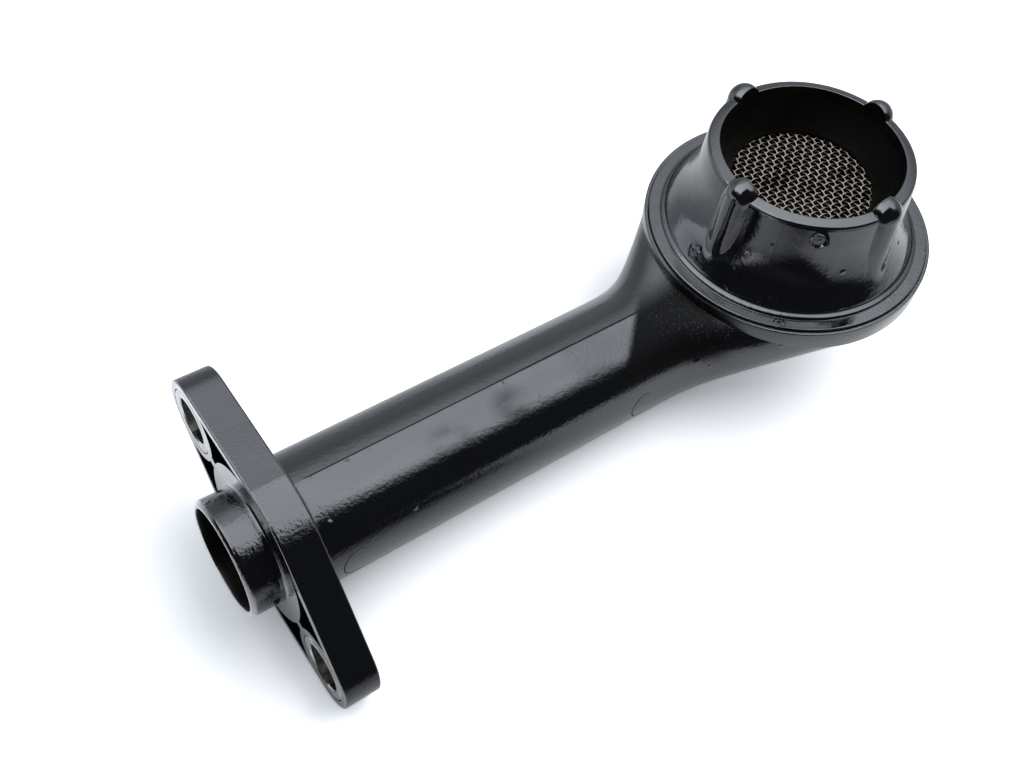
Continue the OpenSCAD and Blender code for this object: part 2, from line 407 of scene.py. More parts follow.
def lowerMouldingRings():
    s = lowerSet
    a = evenAngles(s["sides"])
    e, f, t = s["edgeRound"], s["rootFillet"], s["flangeT"]
    end, r, b = -s["spigotLen"], s["spigotR"], s["boreR"]
    # spigot from its thin end to the mating face
    profile = [(end + 0.14, b), (end + 0.05, b + 0.04), (end, b + 0.14), (end, r - 0.68),
               (end + 0.05, r - 0.55), (end + 0.48, r - 0.12), (end + 0.62, r - 0.03),
               (end + 0.8, r), (end + 1.2, r), (-2.5, r), (-0.7, r)]
    profile += arcPoints((-0.4, r + 0.4), 0.4, 270, 360, 4) + [(0.0, r + 0.6), (0.0, r + 3.1)]
    rings = [tubePoints(x, radius, a) for x, radius in profile]
    # flange edge, rounded front and back
    for inset in (0.9, e + 0.12):
        rings.append(tubePoints(0.0, flangeReach(a, inset), a))
    for k in np.radians(np.linspace(0, 90, 5)):
        rings.append(tubePoints(e - e * math.cos(k), flangeReach(a, e - e * math.sin(k)), a))
    for x in (e + 0.15, t / 2, t - e - 0.15):
        rings.append(tubePoints(x, flangeReach(a, 0), a))
    for k in np.radians(np.linspace(0, 90, 5)):
        rings.append(tubePoints(t - e + e * math.sin(k), flangeReach(a, e - e * math.cos(k)), a))
    for inset in (e + 0.12, 0.9):
        rings.append(tubePoints(t, flangeReach(a, inset), a))
    # root fillet, tube, and the bowl's outside
    rings.append(tubePoints(t, s["tubeR"] + f + 0.15, a))
    dip = draftDip(a, s["tubeR"])
    for x, radius in arcPoints((t + f, s["tubeR"] + f), f, 180, 270, 6):
        rings.append(tubePoints(x, radius - dip * (x - t) / f, a))
    for x in np.linspace(t + f + 0.4, s["bowlX"] - 1.5, 26):
        rings.append(tubePoints(x, s["tubeR"] - dip, a))
    near = (1 - np.cos(a)) / 2
    foot = -s["weldH"] + s["climb"] * near ** 2
    edge = s["weldR"] - 0.35 + 0.3 * smooth(0.45, 0.85, near)
    outside, around = bowlRings(s["tubeR"] - dip, s["kneeX"], edge, foot, a)
    rings += outside
    # weld disc: edge, lip and seat
    w, lipR, top, seat = s["weldR"], s["weldR"] - s["lip"], -s["lipDrop"], -s["seat"]
    for radius, h in ((w - 0.04, foot + 0.02), (w, foot + 0.14), (w, top - 0.45), (w - 0.02, top - 0.18),
                      (w - 0.09, top - 0.05), (w - 0.2, top), (lipR + 0.15, top), (lipR + 0.04, top - 0.04),
                      (lipR, top - 0.15), (lipR, seat), (lipR - 1.0, seat), (s["mouthR"] + 0.4, seat),
                      (s["mouthR"] + 0.1, seat - 0.08)):
        rings.append(headPoints(radius, h, around))
    # inside of the bowl and the bore, back to the spigot
    outer = len(rings)
    hollow, _ = bowlRings(b, s["kneeX"] + 0.5, s["mouthR"], seat - 0.3, a)
    rings += hollow[::-1]
    for x in np.linspace(s["bowlX"] - 6, end + 1, 8):
        rings.append(tubePoints(x, b, a))
    return rings, outer


# outline of one lightening pocket, in the flange's own plane
def pocketOutline():
    s, t, b = lowerSet, flangeTurn, lowerSet["boltSpan"] / 2
    half, line = s["web"] / 2, s["middleR"] - s["rimWall"]
    points = [(math.sqrt(s["landR"] ** 2 - half ** 2), half)]
    low = math.pi - math.asin(half / s["bossR"])
    high = math.pi - math.asin((line - b * math.sin(t)) / s["bossR"]) - t
    points += [(b + s["bossR"] * math.cos(k), s["bossR"] * math.sin(k)) for k in np.linspace(low, high, 14)]
    along = math.sqrt(s["landR"] ** 2 - line ** 2)
    meet = (line * math.sin(t) + along * math.cos(t), line * math.cos(t) - along * math.sin(t))
    turns = np.linspace(math.atan2(meet[1], meet[0]), math.asin(half / s["landR"]), 22)[:-1]
    points += [(s["landR"] * math.cos(k), s["landR"] * math.sin(k)) for k in turns]
    return points


# prism from a flat outline in the flange's plane, from x = low to x = high
def flangePrism(name, outline, low, high):
    n, c, d = len(outline), math.cos(flangeTurn), math.sin(flangeTurn)
    flat = [(u * c - v * d, u * d + v * c) for u, v in outline]
    points = [(x, y, z) for x in (low, high) for y, z in flat]
    faces = [tuple(range(n)), tuple(range(2 * n - 1, n - 1, -1))]
    faces += [(j, (j + 1) % n, n + (j + 1) % n, n + j) for j in range(n)]
    return meshObject(name, points, faces)


def flangeCuts():
    s, cuts = lowerSet, []
    outline = pocketOutline()
    for u in (1, -1):
        for v in (1, -1):
            corners = [(u * p, v * q) for p, q in outline]
            cuts.append(flangePrism("pocketCut", corners, -1.0, s["pocketDepth"]))
        hole = [(u * s["boltSpan"] / 2 + s["sleeveR"] * math.cos(k), s["sleeveR"] * math.sin(k))
                for k in evenAngles(96)]
        cuts.append(flangePrism("sleeveCut", hole, -1.0, s["flangeT"] + 1.0))
    return joinAll("flangeCuts", cuts)


# the draft makes a true edge along the parting line
def sharpenPartingLine(piece):
    points = piece.data.vertices
    for edge in piece.data.edges:
        ends = [points[i].co / mm for i in edge.vertices]
        if all(abs(p.y) < 0.001 and -1 < p.x < 81 and (p.z > 11 or p.z < -11) for p in ends):
            edge.use_edge_sharp = abs(ends[0].x - ends[1].x) > 0.1
    piece.data.update()


# grime colour also paints shade where the tube meets the bowl; dust colour also paints glints on the flash
lowerLook = {
    "colour": (0.0046, 0.0049, 0.0062, 1), "dustAndGlint": (0.10, 0.095, 0.09, 1), "dry": 0.20, "wet": 0.09,
    "grimeAndShade": (0.0030, 0.0030, 0.0032, 1), "bare": 0.12, "coat": (0.90, 1.0), "coatIor": 1.95,
    "coatRough": 0.08, "peel": 0.85, "waves": 0.5, "filmSize": 70.0, "filmCover": 0.45,
    "filmCalm": 0.8, "gritSize": 420.0, "gritAmount": 0.05, "gritHeight": 2.4, "bump": 0.00006,
}
# places of the marks, in metres
lowerSpots = {
    "rings": ((0.0128, 0.0032), (0.0742, 0.0029)), "ringZ": 0.0004,
    "sand": (0.0648, -0.0028, 0.0116), "smears": ((0.0340, -0.0056, 0.0106), (0.0470, -0.0048, 0.0110)),
    "flash": (0.0892, -0.0050, 0.0137), "lineStart": (0.0085, 0.0105), "lineStop": (0.0800, 0.0790),
    # the slant, start, stop, far, near and foot entries place the painted shade where the tube runs into the
    # bowl
    "junctionShadeSlant": -1.04, "junctionShadeStart": (0.0782, 0.0806), "junctionShadeStop": (0.0970, 0.0890),
    "junctionShadeFar": (0.0060, -0.0010), "junctionShadeNear": (-0.0170, -0.0110), "junctionShadeFoot": (0.0050, 0.0080),
}


# parting line along the tube, round mould marks on its flank, smears, painted shade where the tube runs into
# the bowl, and flash beside the weld with painted glints
def lowerMarks(tree, spot):
    s = lowerSpots
    x, y, z = addNode(tree, "ShaderNodeSeparateXYZ", Vector=spot).outputs
    side = mathNode(tree, "ABSOLUTE", y)
    ragged = product(tree, noiseNode(tree, spot, 1100.0, 3.0), rangeNode(tree, x, 0.040, 0.060), 0.00022)
    onTube = product(tree, rangeNode(tree, x, *s["lineStart"]), rangeNode(tree, x, *s["lineStop"]),
                     mathNode(tree, "GREATER_THAN", z, 0.0))
    line = product(tree, rangeNode(tree, side, total(tree, ragged, 0.00012), 0.00004), onTube)
    height = product(tree, rangeNode(tree, side, total(tree, ragged, 0.00026), 0.0), onTube, 1.2)
    # only the front of each round mark is deep enough to show
    flank = mathNode(tree, "LESS_THAN", y, 0.0)
    up = mathNode(tree, "POWER", mathNode(tree, "SUBTRACT", z, s["ringZ"]), 2.0)
    for place, width in s["rings"]:
        along = mathNode(tree, "SUBTRACT", x, place)
        apart = mathNode(tree, "SQRT", total(tree, mathNode(tree, "POWER", along, 2.0), up))
        off = mathNode(tree, "ABSOLUTE", mathNode(tree, "SUBTRACT", apart, width))
        ring = rangeNode(tree, off, 0.00016, 0.00004)
        ring = product(tree, ring, flank, rangeNode(tree, along, 0.0016, -0.0008))
        height = mathNode(tree, "SUBTRACT", height, product(tree, ring, 2.2))
        line = mathNode(tree, "MAXIMUM", line, ring)
    # sandy skin at the end of the straight run, and smears of oil along its flank
    sand = product(tree, nearTo(tree, spot, s["sand"], 0.0085, 0.002), noiseNode(tree, spot, 2600.0, 3.0, 0.7))
    height = total(tree, height, product(tree, sand, 0.9))
    streaks = addNode(tree, "ShaderNodeMapping", Vector=spot, Scale=(0.5, 1.0, 1.0)).outputs[0]
    smear = noiseNode(tree, streaks, 260.0, 3.0, 0.5)
    for place in s["smears"]:
        here = nearTo(tree, spot, place, 0.0052, 0.001)
        height = total(tree, height, product(tree, here, smear, 0.1))
        line = mathNode(tree, "MAXIMUM", line, product(tree, here, rangeNode(tree, smear, 0.28, 0.62), 0.6))
    # painted shade where the tube runs into the bowl: dark and without gloss, with a slanting ragged edge
    edge = mathNode(tree, "MULTIPLY_ADD", y, s["junctionShadeSlant"], x)
    edge = total(tree, edge, product(tree, noiseNode(tree, spot, 1500.0, 3.0, 0.6), 0.0012))
    junctionShade = product(tree, rangeNode(tree, edge, *s["junctionShadeStart"]), rangeNode(tree, x, *s["junctionShadeStop"]),
                   rangeNode(tree, y, *s["junctionShadeFar"]), rangeNode(tree, y, *s["junctionShadeNear"]),
                   rangeNode(tree, z, *s["junctionShadeFoot"]))
    line = mathNode(tree, "MAXIMUM", line, junctionShade)
    # flash beside the weld: ragged grain that glints, its lighter colour partly painted glints
    beside = nearTo(tree, spot, s["flash"], 0.013, 0.004)
    grain = product(tree, beside, rangeNode(tree, noiseNode(tree, spot, 2300.0, 3.0, 0.7), 0.56, 0.78))
    height = total(tree, height, product(tree, grain, 0.9))
    dustAndGlint = product(tree, grain, 0.5)
    line = product(tree, line, mathNode(tree, "SUBTRACT", 1.0, grain))
    return height, dustAndGlint, line


lowerPlastic = blackPlastic("blackPlasticTube", lowerLook, lowerMarks)
rings, outer = lowerMouldingRings()
lowerMoulding = meshObject("lowerMoulding", np.concatenate(rings),
                           ringFaces(len(rings), lowerSet["sides"], True), lowerPlastic)
# inner faces of the bowl and bore get the darker painted-shade plastic
lowerMoulding.data.materials.append(shadedInside)
for face in lowerMoulding.data.polygons:
    face.material_index = int(face.index >= outer * lowerSet["sides"])
cutOrJoin(lowerMoulding, flangeCuts(), "DIFFERENCE")
shadeSmooth(lowerMoulding, 34)
sharpenPartingLine(lowerMoulding)
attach(lowerMoulding, "root")
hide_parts("pickup_tube")
print("lower moulding:", len(lowerMoulding.data.polygons), "faces")


# upper moulding: weld ring, skirt, collar and inlet cone, with its ribs and the gate's mark

upperSet = {
    "ringR": 27.2, "seat": 2.4, "skirtR": 24.1, "bead": 0.9, "wall": 2.2, "collarR": 19.2, "flare": 0.9,
    "crease": 8.3, "blend": 4.6, "rimH": 18.7, "rimR": 17.0, "rimRound": 0.7, "landFall": 0.3,
    "mouthLand": 2.4, "meshR": 13.2, "meshH": 9.9, "meshHalf": 0.6, "hold": 1.4, "coneWall": 1.8,
    "ribs": 4, "ribR": 3.1, "ribCircle": 17.7, "ribRise": 1.9, "ribTurn": 2.0, "ribBlend": 0.7,
    "gateAngle": -128.6, "gateH": 15.6, "gateR": 1.75,
}
wallTop = upperSet["rimH"] - upperSet["rimRound"]
ribLean = math.atan(upperSet["flare"] / (wallTop - upperSet["crease"]))
domeH = upperSet["rimH"] + upperSet["ribRise"] - upperSet["ribR"]


def collarReach(h):
    return upperSet["collarR"] + (wallTop - h) * math.tan(ribLean)


# directions round the head, closer together at the ribs
def headAngles():
    s = upperSet
    part = 360 / s["ribs"]
    fine = np.concatenate([np.arange(-12, 12, 0.4), np.arange(12, part - 12, 1.2)])
    return np.radians(np.concatenate([fine + s["ribTurn"] + i * part for i in range(s["ribs"])]))


# distance from the head's axis to the outside of the ribs at one height, and 0 beside them
def ribReach(angles, h):
    s = upperSet
    centre = s["ribCircle"] + (domeH - h) * math.tan(ribLean)
    part = 2 * math.pi / s["ribs"]
    off = (angles - math.radians(s["ribTurn"]) + part / 2) % part - part / 2
    room = s["ribR"] ** 2 - (centre * np.sin(off)) ** 2
    return np.where(room > 0, centre * np.cos(off) + np.sqrt(np.maximum(room, 0)), 0.0)


# outside of the skirt and the collar, from the bead up to the height of the domes' middles
def wallProfile():
    s = upperSet
    foot = np.array([s["skirtR"] - 0.12, s["bead"] + 0.2])
    bend = np.array([collarReach(s["crease"]), s["crease"]])
    down = (foot - bend) / np.linalg.norm(foot - bend)
    up = np.array([-math.sin(ribLean), math.cos(ribLean)])
    first, last = bend + down * s["blend"], bend + up * s["blend"]
    wall = [foot + t * (first - foot) for t in np.linspace(0, 1, 9)[:-1]]
    wall += [(1 - t) ** 2 * first + 2 * t * (1 - t) * bend + t * t * last for t in np.linspace(0, 1, 19)]
    wall += [(collarReach(h), h) for h in np.linspace(last[1], domeH, 6)[1:]]
    return [tuple(p) for p in wall]


def upperRings(angles):
    s = upperSet
    k, top, foot = s["skirtR"], s["meshH"] + s["meshHalf"], s["meshH"] - s["meshHalf"]
    ring, bead = s["ringR"], s["bead"]
    loop = [(k - s["wall"], -s["seat"]), (ring - 0.1, -s["seat"]), (ring, -s["seat"] + 0.1), (ring, -0.35)]
    loop += arcPoints((ring - 0.18, -0.18), 0.18, 0, 90, 3)
    loop += [(ring - 0.35, 0.0), (k + bead + 0.5, 0.0), (k + bead + 0.2, 0.0)]
    # bead with its top falling outwards, and a narrow groove inside it
    loop += arcPoints((k + bead + 0.12, 0.12), 0.12, 270, 180, 3)
    loop += arcPoints((k + bead - 0.22, bead - 0.45), 0.22, 0, 72, 4)
    loop += [(k + 0.3, bead - 0.04), (k + 0.2, bead - 0.03), (k + 0.08, bead - 0.2),
             (k - 0.02, bead - 0.12)]
    rings = [ringAt(r, h, angles) for r, h in loop]
    # the ribs grow out of skirt and collar with soft bends
    for r, h in wallProfile():
        soft = s["ribBlend"] * (1 - smooth(domeH - 1.4, domeH - 0.2, h)) + 0.02
        rings.append(ringAt(softMax(r, ribReach(angles, h), soft), h, angles))
    # rim: rounded outside, its land falling outwards
    loop = [(collarReach(domeH + 0.03), domeH + 0.03)]
    edge = collarReach(wallTop) - 0.05
    high = s["rimH"] - s["landFall"]
    bend = s["rimRound"] - 0.1
    loop += arcPoints((edge - bend, high - bend), bend, 0, 78, 6)
    loop += [(s["rimR"] + 0.5, s["rimH"] - 0.03), (s["rimR"] + 0.22, s["rimH"])]
    loop += arcPoints((s["rimR"] + 0.16, s["rimH"] - 0.16), 0.16, 90, 180, 3)
    # mouth, inlet cone and the groove that holds the mesh
    mouth, held, cone = s["rimH"] - s["mouthLand"], s["meshR"] + s["hold"], foot - s["coneWall"]
    loop += [(s["rimR"], s["rimH"] - 0.6), (s["rimR"], mouth + 0.2), (s["rimR"] - 0.08, mouth - 0.1),
             (s["meshR"] + 0.1, top + 0.15), (s["meshR"] + 0.08, top), (held, top), (held, foot),
             (s["meshR"], foot), (s["meshR"], cone), (held + s["coneWall"] / 2, cone),
             (s["rimR"] - 0.1, mouth - 2 * s["coneWall"]),
             (collarReach(s["crease"]) - s["wall"], s["crease"]), (k - s["wall"], bead)]
    return rings + [ringAt(r, h, angles) for r, h in loop]


# domed end of a rib, a hair larger than the rib that carries it
def domeAt(index):
    s = upperSet
    turn = math.radians(s["ribTurn"]) + index * 2 * math.pi / s["ribs"]
    dome = domedPiece("dome", arcPoints((0, domeH), s["ribR"] + 0.02, -86, 86, 40), 80)
    dome.data.transform(Matrix.Rotation(turn, 4, "Z") @ Matrix.Translation((s["ribCircle"] * mm, 0, 0)))
    return dome


# round stub that the gate left on the collar, broken off at a slant
def gateMark():
    s, r = upperSet, upperSet["gateR"]
    profile = [(r + 0.1, -0.8), (r + 0.05, 0.05), (r, 0.28), (r - 0.12, 0.4), (r - 0.32, 0.38),
               (r - 0.55, -0.05), (0.5, -0.1), (0.35, 0.1), (0.1, 0.14)]
    gate = domedPiece("gate", profile, 40)
    for point in gate.data.vertices:
        high = point.co.z / mm
        if high > 0.1:
            tilt = max(0.0, (point.co.y * 0.7 - point.co.x * 0.7) / mm)
            point.co.z += 0.5 * tilt * mm
    gate.data.transform(Matrix.Rotation(math.radians(s["gateAngle"]), 4, "Z")
                        @ Matrix.Translation((collarReach(s["gateH"]) * mm, 0, s["gateH"] * mm))
                        @ Matrix.Rotation(math.pi / 2 - ribLean, 4, "Y"))
    return gate


# clears the mouth of what the domes bring into it
def mouthCut():
    s = upperSet
    mouth, top = s["rimH"] - s["mouthLand"], s["meshH"] + s["meshHalf"]
    profile = [(s["meshR"] + 0.4, top + 0.5), (s["rimR"] - 0.06, mouth - 0.1),
               (s["rimR"] + 0.01, mouth + 0.2), (s["rimR"] + 0.01, s["rimH"] + 6)]
    return domedPiece("mouthCut", profile, 288)


# dust colour also paints glints on the flash along the weld
upperLook = {
    "colour": (0.0046, 0.0049, 0.0062, 1), "dustAndGlint": (0.10, 0.095, 0.09, 1), "dry": 0.19, "wet": 0.08,
    "grimeAndShade": (0.0030, 0.0030, 0.0032, 1), "bare": 0.12, "coat": (0.90, 1.0), "coatIor": 1.95,
    "coatRough": 0.07, "peel": 0.50, "waves": 0.5, "filmSize": 85.0, "filmCover": 0.5,
    "filmCalm": 0.55, "gritSize": 480.0, "gritAmount": 0.04, "gritHeight": 2.2, "bump": 0.00006,
}
upperSpots = {"flash": (0.0925, -0.017, 0.016)}


# runs of oil down the collar, and ragged flash along the weld, its lighter colour partly painted glints
def upperMarks(tree, spot):
    beside = nearTo(tree, spot, upperSpots["flash"], 0.011, 0.003)
    grain = product(tree, beside, rangeNode(tree, noiseNode(tree, spot, 2300.0, 3.0, 0.7), 0.56, 0.78))
    streaks = addNode(tree, "ShaderNodeMapping", Vector=spot, Scale=(1.0, 1.0, 0.16)).outputs[0]
    runs = rangeNode(tree, noiseNode(tree, streaks, 420.0), 0.58, 0.78)
    height = total(tree, product(tree, grain, 0.8), product(tree, runs, 0.5))
    dustAndGlint = product(tree, grain, 0.4)
    return height, dustAndGlint, 0.0


upperPlastic = blackPlastic("blackPlasticHead", upperLook, upperMarks)
angles = headAngles()
rings = upperRings(angles)
upperMoulding = meshObject("upperMoulding", np.concatenate(rings),
                           ringFaces(len(rings), len(angles), True), upperPlastic)
domes = [domeAt(i) for i in range(upperSet["ribs"])]
cutOrJoin(upperMoulding, joinAll("domesAndGate", domes + [gateMark()]), "UNION")
cutOrJoin(upperMoulding, mouthCut(), "DIFFERENCE")
shadeSmooth(upperMoulding, 34)
# faces inside the mouth get the darker painted-shade plastic
upperMoulding.data.materials.append(shadedInside)
for face in upperMoulding.data.polygons:
    x, y, z = face.center / mm
    face.material_index = int(z > 0 and math.hypot(x, y) < upperSet["rimR"] + 0.03)
upperMoulding.data.transform(headMatrix)
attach(upperMoulding, "root")
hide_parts("strainer_collar")
print("upper moulding:", len(upperMoulding.data.polygons), "faces")


# woven wire disc, made by geometry nodes

weaveSet = {"Pitch": 1.2 * mm, "Wire": 0.35 * mm, "Radius": 14.4 * mm, "Wobble": 0.06 * mm,
            "Wires": 25, "Points": 176, "Sides": 7}
weaveTurn = -6


def weaveTree():
    tree = bpy.data.node_groups.new("wireWeave", "GeometryNodeTree")
    for label in ("Pitch", "Wire", "Radius", "Wobble"):
        tree.interface.new_socket(label, in_out="INPUT", socket_type="NodeSocketFloat")
    for label in ("Wires", "Points", "Sides"):
        tree.interface.new_socket(label, in_out="INPUT", socket_type="NodeSocketInt")
    tree.interface.new_socket("Material", in_out="INPUT", socket_type="NodeSocketMaterial")
    tree.interface.new_socket("Weave", in_out="OUTPUT", socket_type="NodeSocketGeometry")
    start, end = tree.nodes.new("NodeGroupInput"), tree.nodes.new("NodeGroupOutput")
    pitch, wire, radius, wobble = (start.outputs[k] for k in ("Pitch", "Wire", "Radius", "Wobble"))

    def join(x, y, z):
        return addNode(tree, "ShaderNodeCombineXYZ", X=x, Y=y, Z=z).outputs[0]

    def wave(along, step):
        return mathNode(tree, "COSINE", product(tree, along, step))

    # one straight wire, repeated across the disc
    left = join(product(tree, radius, -1.0), 0.0, 0.0)
    right = join(radius, 0.0, 0.0)
    straight = addNode(tree, "GeometryNodeCurvePrimitiveLine", Start=left, End=right).outputs[0]
    straight = addNode(tree, "GeometryNodeResampleCurve", Curve=straight,
                       Count=start.outputs["Points"]).outputs[0]
    half = product(tree, mathNode(tree, "SUBTRACT", start.outputs["Wires"], 1.0), -0.5)
    first = join(0.0, product(tree, half, pitch), 0.0)
    row = addNode(tree, "GeometryNodeMeshLine", Count=start.outputs["Wires"], Start_Location=first,
                  Offset=join(0.0, pitch, 0.0)).outputs[0]
    wires = addNode(tree, "GeometryNodeInstanceOnPoints", Points=row, Instance=straight).outputs[0]
    wires = addNode(tree, "GeometryNodeRealizeInstances", Geometry=wires).outputs[0]
    # each wire goes over and under, the next one the other way round
    place = addNode(tree, "GeometryNodeInputPosition").outputs[0]
    x, y, _ = addNode(tree, "ShaderNodeSeparateXYZ", Vector=place).outputs
    step = mathNode(tree, "DIVIDE", math.pi, pitch)
    crimp = product(tree, wave(x, step), wave(y, step), wire, 0.5)
    stir = addNode(tree, "ShaderNodeTexNoise", Vector=place, Scale=170.0, Detail=0.0).outputs["Color"]
    stir = vectorNode(tree, "SUBTRACT", i0=stir, i1=(0.5, 0.5, 0.5))
    stir = vectorNode(tree, "SCALE", i0=stir, Scale=wobble)
    shift = vectorNode(tree, "ADD", i0=stir, i1=join(0.0, 0.0, crimp))
    wires = addNode(tree, "GeometryNodeSetPosition", Geometry=wires, Offset=shift).outputs[0]
    # the disc's round edge, and the crossing wires
    away = mathNode(tree, "SQRT", total(tree, product(tree, x, x), product(tree, y, y)))
    wires = addNode(tree, "GeometryNodeDeleteGeometry", {"domain": "POINT"}, Geometry=wires,
                    Selection=mathNode(tree, "GREATER_THAN", away, radius)).outputs[0]
    crossing = addNode(tree, "GeometryNodeTransform", Geometry=wires, Rotation=(0.0, 0.0, math.pi / 2),
                       Scale=(1.0, 1.0, -1.0)).outputs[0]
    both = tree.nodes.new("GeometryNodeJoinGeometry")
    tree.links.new(wires, both.inputs[0])
    tree.links.new(crossing, both.inputs[0])
    ring = addNode(tree, "GeometryNodeCurvePrimitiveCircle", Resolution=start.outputs["Sides"],
                   Radius=product(tree, wire, 0.5)).outputs[0]
    solid = addNode(tree, "GeometryNodeCurveToMesh", Curve=both.outputs[0], Profile_Curve=ring,
                    Fill_Caps=True).outputs[0]
    solid = addNode(tree, "GeometryNodeSetShadeSmooth", Geometry=solid).outputs[0]
    solid = addNode(tree, "GeometryNodeRealizeInstances", Geometry=solid).outputs[0]
    solid = addNode(tree, "GeometryNodeSetMaterial", Geometry=solid,
                    Material=start.outputs["Material"]).outputs[0]
    tree.links.new(solid, end.inputs[0])
    return tree


wireLook = {
    "colour": (0.34, 0.30, 0.25, 1), "stain": (0.06, 0.045, 0.03, 1), "rough": 0.42, "wetRough": 0.25,
    "stainSize": 260.0, "stainCover": 0.36,
}


def wireSteel():
    material, tree, bsdf = newMaterial("stainedWire")
    wet = useGroup(tree, oilFilm, Size=wireLook["stainSize"], Cover=wireLook["stainCover"]).outputs[0]
    colour = mixColour(tree, product(tree, wet, 0.75), wireLook["colour"], wireLook["stain"])
    tree.links.new(colour, bsdf.inputs["Base Color"])
    rough = rangeNode(tree, wet, 0, 1, wireLook["rough"], wireLook["wetRough"], soft=False)
    tree.links.new(rough, bsdf.inputs["Roughness"])
    skin = useGroup(tree, mouldedSkin, Peel=1.0, Waves=0.3).outputs[0]
    bump = addNode(tree, "ShaderNodeBump", Height=skin, Strength=0.6, Distance=0.00002).outputs[0]
    tree.links.new(bump, bsdf.inputs["Normal"])
    bsdf.inputs["Metallic"].default_value = 1.0
    return material


weave = bpy.data.objects.new("wireWeave", bpy.data.meshes.new("wireWeaveStart"))
scene.collection.objects.link(weave)
tree = weaveTree()
setting = weave.modifiers.new("weave", "NODES")
setting.node_group = tree
for item in tree.interface.items_tree:
    if item.in_out == "INPUT":
        setting[item.identifier] = wireSteel() if item.name == "Material" else weaveSet[item.name]
bpy.context.view_layer.update()
woven = bpy.data.meshes.new_from_object(weave.evaluated_get(bpy.context.evaluated_depsgraph_get()))
weave.modifiers.clear()
weave.data = woven
weave.data.transform(headMatrix @ Matrix.Translation((0, 0, upperSet["meshH"] * mm))
                     @ Matrix.Rotation(math.radians(weaveTurn), 4, "Z"))
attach(weave, "root")
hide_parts("strainer_mesh")
print("wire weave:", len(weave.data.polygons), "faces")


# steel sleeves in the flange's bolt holes

sleeveSet = {"outer": 6.0, "inner": 4.2, "length": 6.5, "chamfer": 0.25, "sides": 96}
sleeveLook = {
    "colour": (0.48, 0.47, 0.45, 1), "stain": (0.10, 0.085, 0.07, 1), "rough": 0.28, "wetRough": 0.16,
    "stainSize": 240.0, "stainCover": 0.45,
}


def sleeveSteel():
    material, tree, bsdf = newMaterial("turnedSteel")
    wet = useGroup(tree, oilFilm, Size=sleeveLook["stainSize"], Cover=sleeveLook["stainCover"]).outputs[0]
    colour = mixColour(tree, product(tree, wet, 0.7), sleeveLook["colour"], sleeveLook["stain"])
    tree.links.new(colour, bsdf.inputs["Base Color"])
    # fine lines left by turning run round the bore
    lines = addNode(tree, "ShaderNodeMapping", Vector=objectSpot(tree), Scale=(9000.0, 300.0, 300.0))
    lines = noiseNode(tree, lines.outputs[0], 1.0)
    bump = addNode(tree, "ShaderNodeBump", Height=lines, Strength=0.5, Distance=0.00002)
    tree.links.new(bump.outputs[0], bsdf.inputs["Normal"])
    rough = rangeNode(tree, wet, 0, 1, sleeveLook["rough"], sleeveLook["wetRough"], soft=False)
    tree.links.new(rough, bsdf.inputs["Roughness"])
    bsdf.inputs["Metallic"].default_value = 1.0
    return material


def sleeveLoop():
    s = sleeveSet
    c, t = s["chamfer"], s["length"]
    return [(s["inner"], c), (s["inner"] + c, 0.0), (s["outer"] - c, 0.0), (s["outer"], c),
            (s["outer"], t - c), (s["outer"] - c, t), (s["inner"] + c, t), (s["inner"], t - c)]


turnedSteel = sleeveSteel()
for side, name, node in ((1, "upperSleeve", "bolt_sleeve_upper"), (-1, "lowerSleeve", "bolt_sleeve_lower")):
    sleeve = turnedPiece(name, sleeveLoop(), evenAngles(sleeveSet["sides"]), turnedSteel)
    away = lowerSet["boltSpan"] / 2 * side * mm
    sleeve.data.transform(Matrix.Translation((0, away * math.cos(flangeTurn), away * math.sin(flangeTurn)))
                          @ Matrix.Rotation(math.pi / 2, 4, "Y"))
    shadeSmooth(sleeve, 30)
    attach(sleeve, "root")
    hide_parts(node)
print("sleeves made")


# floor, light and camera

floorSet = {
    "flangeFoot": (6.5, -16.0), "bowlFoot": (91.0, -12.0), "size": 3.0,
    "paper": (0.82, 0.82, 0.815, 1), "seenPaper": (1.65, 1.64, 1.62, 1),
    # the colours and ranges below paint the sheet as the gloss sees it: a painted reflection with painted
    # shade in front
    "mirrorPaper": (0.80, 0.80, 0.79, 1), "farPaper": (0.50, 0.51, 0.54, 1),
    "paintedShadePaper": (0.015, 0.015, 0.015, 1),
    "widen": (0.06, 0.11), "reach": (0.09, 0.34), "far": (0.0, 0.05), "front": (0.0, -0.008), "paintedReflectionGain": 2.6,
}
lampSet = {"size": 0.75, "power": 4.4, "colour": (0.95, 0.97, 1.0), "way": (0.45, -0.10, 0.88), "away": 0.8}
# parts of the room by direction, and how bright they are
roomSet = {
    "dome": 0.62, "dark": 0.015, "tint": (0.87, 0.92, 1.0, 1), "sill": (-0.16, 0.44), "sillRise": 0.10,
    "endWall": (0.52, 0.62), "shadeLow": (-0.36, -0.34), "shadeHigh": (-0.24, -0.18),
    "windowLeft": (-0.90, -0.72), "windowFoot": (0.30, 0.55), "window": (2.6, -1.1),
    "wallNear": (-0.70, -0.42), "wallLeft": (-0.10, -0.45, 1.0, 2.0), "wallUp": (0.45, 0.90, 0.42, 1.5),
}
photoView = {
    "focal": 1088.3, "width": 1024, "place": (-0.032178, -0.084110, 0.161756),
    "right": (0.80636046, -0.57938567, 0.11872263), "up": (0.40648815, 0.68874487, 0.60033148),
    "back": (-0.42959306, -0.43582423, 0.79089004),
}


